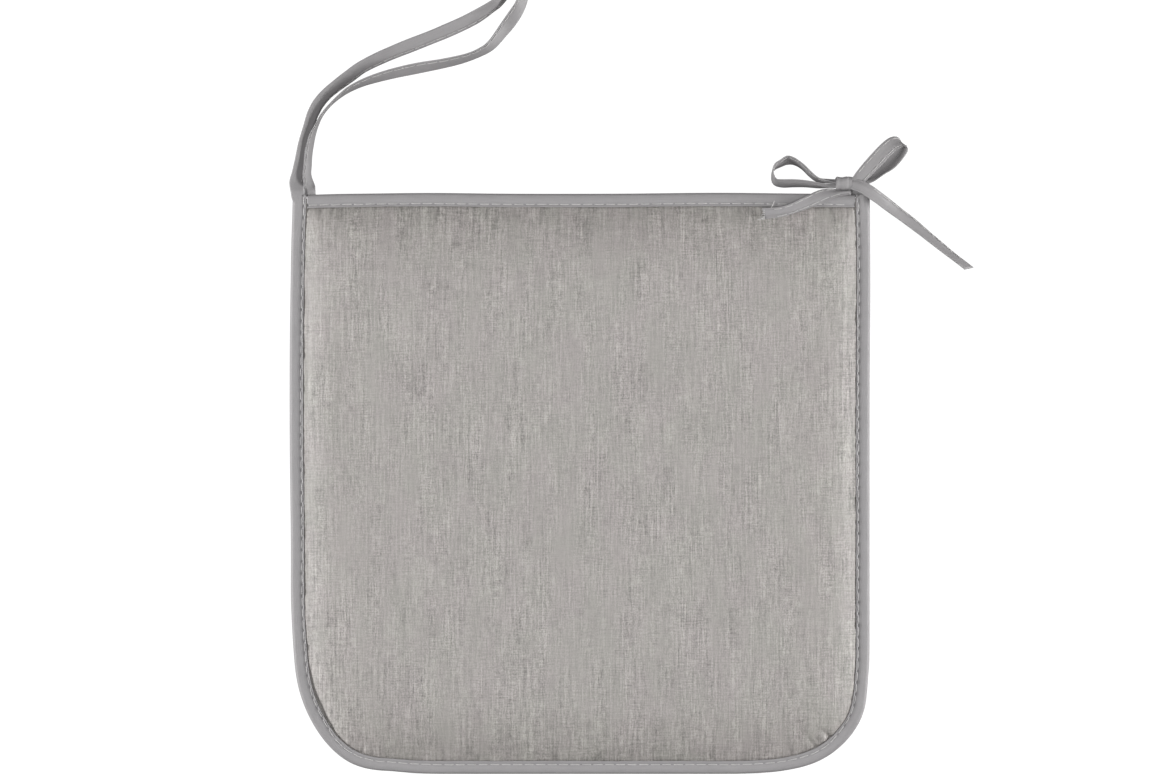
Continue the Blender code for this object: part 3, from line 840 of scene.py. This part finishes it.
def seam_dip(run, hole):
    """How far the thread pulls the tape down: most, by hole, where the needle went in."""
    phase = (run / STITCH_PITCH) % 1.0
    return 0.22 * MM + hole * math.exp(-((min(phase, 1 - phase)) / 0.12) ** 2)


def seam_runs(stations):
    """Distance of each station along the seam, which paces the stitches and the tape's wander."""
    return run_lengths([rim_point(station, SEAM_INSETS["back"] * MM, EDGE_Z) for station in stations])


def binding_outline(run, seed, width, seam, lift, fold, hole):
    """The folded tape's section at one station: (inset, height) points round the closed tape."""
    top = BINDING_HALF_HEIGHT
    width += 0.18 * MM * wander(seed, run / 0.03) + 0.10 * MM * wander(seed + 1, run / 0.008)
    bulge = (0.20 + 0.14 * wander(seed + 2, run / 0.022)) * MM
    lip = (0.06 + 0.14 * wander(seed + 3, run / 0.012)) * MM + lift
    dip = seam_dip(run, hole)
    outer = [(width, top - 0.25 * MM + lip), (width - 0.25 * MM, top + lip),
             (width - 0.8 * MM, top + lip * 0.7), (seam + 0.6 * MM, top - dip * 0.35),
             (seam, top - dip), (seam - 0.7 * MM, top - dip * 0.4),
             (seam - 1.6 * MM, top + bulge * 0.6), (seam - 2.8 * MM, top + bulge),
             (fold + 0.6 * MM, top + bulge * 0.7)]
    for i in range(11):
        angle = math.radians(90 - 18 * i)
        outer.append((fold * (1 - math.cos(angle)), top * math.sin(angle)))
    outer += [(inset, -height) for inset, height in outer[8::-1]]
    core = top - TAPE_THICKNESS
    inner = [(width - 0.25 * MM, top + lip - 0.3 * MM), (seam, core)]
    for i in range(7):
        angle = math.radians(90 - 30 * i)
        inner.append((TAPE_THICKNESS + fold * (1 - math.cos(angle)), core * math.sin(angle)))
    inner += [(seam, -core), (width - 0.25 * MM, 0.3 * MM - top - lip)]
    return outer + inner[::-1]


def make_binding(name, stations, seed, material):
    """One length of binding tape, its section carried along the stations."""
    points, uvs = [], []
    for station, run in zip(stations, seam_runs(stations)):
        (x, y), _ = station
        tables = (TAPE_WIDTHS, SEAM_INSETS, LIP_LIFTS, FOLD_DEPTHS, HOLE_DEPTHS)
        values = [edge_value(table, x, y) for table in tables]
        section = binding_outline(run, seed, *values)
        reach = 0.0
        for k, (inset, height) in enumerate(section):
            if k:
                reach += math.dist(section[k - 1], section[k])
            points.append(rim_point(station, inset, EDGE_Z + height))
            uvs.append((reach / MM, run / MM))
    count = len(section)
    return add_mesh(name, points, closed_tube(len(stations), count, 0), material, uvs)


# -------------------- stitches

def make_stitches(name, run_end, place, material, seed, start=0.0, gap=STITCH_GAP, girth=1.0):
    """A row of lockstitches. place(run) gives the surface point, its normal and the way along."""
    rng = random.Random(seed)
    rows, sides = 9, 8
    points, faces, uvs = [], [], []
    count = int((run_end - start) / STITCH_PITCH)
    for k in range(count):
        begin = start + k * STITCH_PITCH + gap / 2 + rng.uniform(-0.15, 0.15) * MM
        length = STITCH_PITCH - gap + rng.uniform(-0.25, 0.25) * MM
        sway = rng.uniform(-0.16, 0.16) * MM
        first = len(points)
        for row in range(rows):
            t = row / (rows - 1)
            spot, normal, along = place(begin + length * t)
            across = along.cross(normal).normalized()
            hump = 1 - abs(2 * t - 1) ** 5
            lift = THREAD_RADIUS * (0.75 * hump - 1.1 * (1 - hump)) + 0.10 * MM * hump
            centre = spot + normal * lift + across * sway * math.sin(math.pi * t)
            radius = THREAD_RADIUS * girth * (0.72 + 0.28 * hump)
            for i in range(sides):
                angle = 2 * math.pi * i / sides
                ring = across * math.cos(angle) * 1.12 + normal * math.sin(angle) * 0.9
                points.append(centre + ring * radius)
                uvs.append((angle, (k * STITCH_PITCH + length * t) / MM))
        faces += closed_tube(rows, sides, first)
    return add_mesh(name, points, faces, material, uvs)


def seam_place(stations, height, facing):
    """place(run) for a seam on the binding, on its upper (facing 1) or lower (-1) face."""
    seam, holes = [], []
    for station in stations:
        inset = edge_value(SEAM_INSETS, *station[0])
        seam.append(rim_point(station, inset, EDGE_Z + facing * height))
        holes.append(edge_value(HOLE_DEPTHS, *station[0]))
    runs = seam_runs(stations)
    normal = Vector((0, 0, facing))

    def place(run):
        k, t = locate(runs, run)
        spot = seam[k].lerp(seam[k + 1], t) - normal * seam_dip(run, holes[k])
        return spot, normal, (seam[k + 1] - seam[k]).normalized()

    return place, runs[-1]


# -------------------- ribbons

def blend_rows(a, b, c, d, t):
    """A Catmull-Rom point between b and c, for vectors and for numbers."""
    return 0.5 * ((2 * b) + (c - a) * t + (2 * a - 5 * b + 4 * c - d) * t * t
                  + (3 * b - a - 3 * c + d) * t * t * t)


class Ribbon:
    """A tape laid along a route, as close frames: place, across, normal, gather, cup, along."""

    def __init__(self, route):
        rows = []
        for x, y, z, azimuth, tilt, gather, cup in route:
            turn, lean = math.radians(azimuth), math.radians(tilt)
            level = math.cos(lean)
            across = Vector((math.cos(turn) * level, math.sin(turn) * level, math.sin(lean)))
            rows.append((Vector((x, y, z)) * MM, across, gather, math.radians(cup)))
        padded = [rows[0]] + rows + [rows[-1]]
        samples = []
        for k in range(len(rows) - 1):
            steps = max(2, round((rows[k + 1][0] - rows[k][0]).length / TIE_STEP))
            for i in range(steps):
                samples.append([blend_rows(*column, i / steps) for column in zip(*padded[k:k + 4])])
        samples.append(list(rows[-1]))
        self.frames = []
        for k, (place, across, gather, cup) in enumerate(samples):
            along = (samples[min(k + 1, len(samples) - 1)][0] - samples[max(k - 1, 0)][0]).normalized()
            across = (across - along * across.dot(along)).normalized()
            self.frames.append((place, across, along.cross(across), gather, cup, along))
        self.path = [entry[0] for entry in self.frames]
        self.runs = run_lengths(self.path)
        self.length = self.runs[-1]

    def middle(self, k, u, seed):
        """The tape's middle surface at frame k and width share u, and the local normal."""
        place, across, normal, gather, cup, _ = self.frames[k]
        run = self.runs[k]
        half = TIE_WIDTH / 2 * gather * (1 + 0.035 * wander(seed, run / 0.016))
        arc = max(abs(cup), 0.02)
        angle = u * arc / 2
        radius = 2 * half / arc
        side, drop = radius * math.sin(angle), radius * (1 - math.cos(angle))
        drop -= radius * (1 - math.cos(arc / 2)) * 0.4
        ripple = 0.22 * MM * wander(seed + 1, run / 0.014, u * 0.9)
        pleats = (1 - gather) * 1.25 * MM * math.sin(u * 4.4 + 0.8)
        spot = place + across * side + normal * (ripple + pleats - drop)
        up = normal * math.cos(angle) + across * math.sin(angle)
        return spot, up


def make_ribbon(name, ribbon, seed, stitch_side, material, root_swell=0.0, cut=0.0):
    """The folded tape's closed surface. cut slants its far end; root_swell thickens its root."""
    stitch_u = stitch_side * TIE_STITCH_SHARE
    points, uvs = [], []
    for k, entry in enumerate(ribbon.frames):
        run = ribbon.runs[k]
        left = ribbon.length - run
        swell_share = (0.72 + 0.28 * smooth(run / 0.006)) * (1 - smooth((run - 0.007) / 0.011))
        thick = TIE_THICKNESS / 2 + root_swell * swell_share
        slant = cut * (1 - smooth(left / 0.008))
        for face in (1, -1):
            for i in range(TIE_COLUMNS + 1):
                u = (2 * i / TIE_COLUMNS - 1) * face
                spot, up = ribbon.middle(k, u, seed)
                rounded = max(abs(u) - 1 + TIE_ROUNDED_SHARE, 0.0) / TIE_ROUNDED_SHARE
                rounding = math.sqrt(1 - 0.85 * rounded ** 2)
                groove = 0.24 * MM * math.exp(-((u - stitch_u) * TIE_WIDTH / 2 / (0.5 * MM)) ** 2)
                past_seam = smooth((stitch_side * u - abs(stitch_u)) / 0.15)
                height = thick * rounding * (1 - 0.3 * past_seam) - groove
                points.append(spot + up * height * face + entry[5] * slant * u)
                uvs.append((u * TIE_WIDTH / 2 / MM + (30 if face < 0 else 0), run / MM))
    count = 2 * (TIE_COLUMNS + 1)
    rows = len(ribbon.frames)
    faces = band_faces(rows, count)
    last = (rows - 1) * count
    for i in range(TIE_COLUMNS):
        faces.append((i, count - 1 - i, count - 2 - i, i + 1))
        faces.append((last + i, last + i + 1, last + count - 2 - i, last + count - 1 - i))
    return add_mesh(name, points, faces, material, uvs)


def ribbon_stitches(name, ribbon, seed, stitch_side, face, material, start, end):
    """The stitches along one edge of a ribbon, on one of its faces."""
    stitch_u = stitch_side * TIE_STITCH_SHARE

    def place(run):
        k, t = locate(ribbon.runs, run)
        a, up_a = ribbon.middle(k, stitch_u, seed)
        b, up_b = ribbon.middle(k + 1, stitch_u, seed)
        up = up_a.lerp(up_b, t).normalized() * face
        spot = a.lerp(b, t) + up * (TIE_THICKNESS / 2 - 0.2 * MM)
        return spot, up, (b - a).normalized()

    return make_stitches(name, end, place, material, seed, start, TIE_STITCH_GAP, 0.82)


def make_frays(name, ribbon, seed, material):
    """Loose yarns at the tape's cut end: (width share, lean in degrees, length in mm, curl, back)."""
    yarns = [(-0.88, -122, 5.6, 14, 5.0), (-0.55, -22, 2.2, 40, 0.8), (-0.2, 16, 1.8, -50, 0.8),
             (0.15, -12, 2.6, 60, 0.8), (0.45, 24, 3.4, -30, 0.8), (0.7, 8, 4.2, 45, 0.8),
             (0.86, 30, 3.0, -60, 0.8), (0.94, -6, 5.2, 25, 0.8)]
    _, across, _, _, _, along = ribbon.frames[-1]
    rows, sides = 8, 6
    points, faces, uvs = [], [], []
    for u, lean, reach, curl, back in yarns:
        spot, up = ribbon.middle(len(ribbon.frames) - 1, u, seed)
        spot = spot - along * back * MM + up * 0.5 * MM
        first = len(points)
        for row in range(rows):
            t = row / (rows - 1)
            turn = math.radians(lean + curl * t)
            way = along * math.cos(turn) + across * math.sin(turn)
            side = way.cross(up).normalized()
            for i in range(sides):
                angle = 2 * math.pi * i / sides
                ring = (side * math.cos(angle) + up * math.sin(angle)) * (0.32 - 0.12 * t) * MM
                points.append(spot + ring)
                uvs.append((angle, reach * t))
            spot = spot + way * (reach / (rows - 1)) * MM - up * 0.05 * MM
        faces += closed_tube(rows, sides, first)
    return add_mesh(name, points, faces, material, uvs)


# -------------------- knot

def make_knot(material):
    """The tape wrapped round the middle of the bow: soft folds, rolled rims, sunken ends."""
    half, depth, height = KNOT_SIZE / 2
    # Shares of the half length and of the radius, from the left mouth over its rolled rim
    profile = [(-0.62, 0.05), (-0.64, 0.40), (-0.70, 0.66), (-0.86, 0.76), (-0.97, 0.84), (-1.0, 0.91)]
    profile += [(-0.96, 0.975), (-0.88, 1.0)]
    profile += [(x / 10, 1.0) for x in range(-7, 8)]
    profile += [(-x, r) for x, r in profile[7::-1]]
    sides = 56
    points, uvs = [], []
    for x, r in profile:
        for i in range(sides):
            angle = 2 * math.pi * i / sides
            turn = angle + 0.25 * x
            fold = 0.055 * math.sin(4.2 * x + 1.1 * math.sin(turn))
            fold += 0.03 * wander(41, x * 2.2, turn * 1.4) + 0.05 * math.sin(2 * turn + 0.6)
            fold -= 0.05 * math.exp(-((x - 0.25 - 0.3 * math.sin(turn)) / 0.1) ** 2)
            scale = r * (1 + fold) if r > 0.7 else r
            shift = 0.06 * half * math.sin(turn * 2 + 1.0)
            flat = [math.copysign(abs(part) ** 0.75, part) for part in (math.cos(angle), math.sin(angle))]
            offset = Vector((x * half + shift, depth * scale * flat[0], height * scale * flat[1]))
            points.append(KNOT_CENTRE + offset)
            uvs.append((x * half / MM, angle * depth / MM))
    faces = [face[::-1] for face in closed_tube(len(profile), sides, 0)]
    return add_mesh("bow_knot_wrap", points, faces, material, uvs)


# -------------------- the whole pad

class Tie(NamedTuple):
    """One loose tape. Its hem is sewn along stitch_side, and the stitches show on stitch_face. bend_start
    and bend_end, in millimetres, are not used."""
    name: str
    body: str
    route: list
    stitch_side: int
    bend_start: tuple
    bend_end: tuple
    stitch_face: int = 1
    far_end: str = "bare"
    first_stitch: float = 7.0 * MM
    both_edges: bool = False
    frayed: bool = False
    cut: float = 0.0
    root_swell: float = 0.0


TIES = [
    Tie("left_outer_tie", "outer_tie", LEFT_OUTER_ROUTE, -1, (0, 200.6, 8), (0, 206.5, 8),
        root_swell=1.95 * MM),
    Tie("left_inner_tie", "inner_tie", LEFT_INNER_ROUTE, 1, (0, 200.6, 8), (0, 206.5, 8)),
    Tie("bow_left_loop", "left_loop", LEFT_LOOP_ROUTE, 1, (177, 0, 8), (171, 0, 8), stitch_face=-1,
        far_end="object"),
    Tie("bow_right_loop", "right_loop", RIGHT_LOOP_ROUTE, -1, (189, 0, 10), (195, 0, 10),
        far_end="object", both_edges=True),
    Tie("bow_left_tail", "left_tail", LEFT_TAIL_ROUTE, 1, (188, 200.5, 11), (182, 200.5, 11),
        both_edges=True, frayed=True, cut=-1.2 * MM),
    Tie("bow_right_tail", "right_tail", RIGHT_TAIL_ROUTE, 1, (187, 205, 13), (193, 205, 13),
        first_stitch=18.0 * MM, cut=2.4 * MM),
]


def make_tie(tie, seed, tape, thread):
    """One loose tape with its stitches, baked in place; the CAD's tie and its thread are hidden."""
    ribbon = Ribbon(tie.route)
    side, face, end = tie.stitch_side, tie.stitch_face, ribbon.length - 4.0 * MM
    item = make_ribbon(f"{tie.name}_tape", ribbon, seed, side, tape, tie.root_swell, tie.cut)
    sewing = ribbon_stitches(f"{tie.name}_stitches", ribbon, seed, side, face, thread,
                             tie.first_stitch, end)
    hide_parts(f"{tie.name}_thread")
    extras = [sewing]
    if tie.both_edges:
        extras.append(ribbon_stitches(f"{tie.name}_fold_stitches", ribbon, seed, -side, face, thread,
                                      9.0 * MM, end))
    if tie.frayed:
        extras.append(make_frays(f"{tie.name}_frays", ribbon, seed, thread))
    start, end = Vector(tie.bend_start) * MM, Vector(tie.bend_end) * MM
    for piece in [item] + extras:
        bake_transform(piece)
    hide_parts(tie.name)


def lay_on_pad(item, node):
    """Hides the CAD node that a piece stands for, and hangs the piece on the pad's body."""
    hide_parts(node)
    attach(item, "pad")


def make_bow_middle(tape):
    """The knot, and the roots of the two right ties that run into it."""
    lay_on_pad(make_knot(tape), "bow_knot")
    roots = (("right_outer_tie_root", RIGHT_OUTER_ROOT_ROUTE),
             ("right_inner_tie_root", RIGHT_INNER_ROOT_ROUTE))
    for seed, (name, route) in enumerate(roots, 80):
        item = make_ribbon(f"{name}_tape", Ribbon(route), seed, 1, tape)
        lay_on_pad(item, name)


def make_edges(tape, thread):
    """Both lengths of binding, each with the needle's and the bobbin's stitches."""
    for run_name, stations, node, seed in (("perimeter", perimeter_stations(), "perimeter_binding", 11),
                                           ("back", back_stations(), "back_edge_binding", 21)):
        item = make_binding(f"{node}_tape", stations, seed, tape)
        lay_on_pad(item, node)
        for kind, facing in (("needle", 1), ("bobbin", -1)):
            place, length = seam_place(stations, BINDING_HALF_HEIGHT, facing)
            sewing = make_stitches(f"{run_name}_{kind}_stitches", length, place, thread, seed + facing)
            lay_on_pad(sewing, f"{run_name}_seam_{kind}_thread")


def make_cushion(cover, foam):
    """The two covers, each cut a little larger than the pad, and the slab between them."""
    top = make_cover("top_cover_cloth", "top", CROWN_Z, CROWN_INSET, 3, cover)
    bottom = make_cover("bottom_cover_cloth", "bottom", 0.0, SOLE_INSET, 4, cover)
    for item, node in ((top, "top_cover"), (bottom, "bottom_cover")):
        lay_on_pad(item, node)
    slab = make_foam(foam)
    lay_on_pad(slab, "foam_core")


def main():
    make_camera()
    make_studio()
    tape, thread = tape_material(), thread_material()
    for seed, tie in enumerate(TIES, 60):
        make_tie(tie, seed, tape, thread)
    make_bow_middle(tape)
    make_edges(tape, thread)
    make_cushion(cover_material(), foam_material())


main()
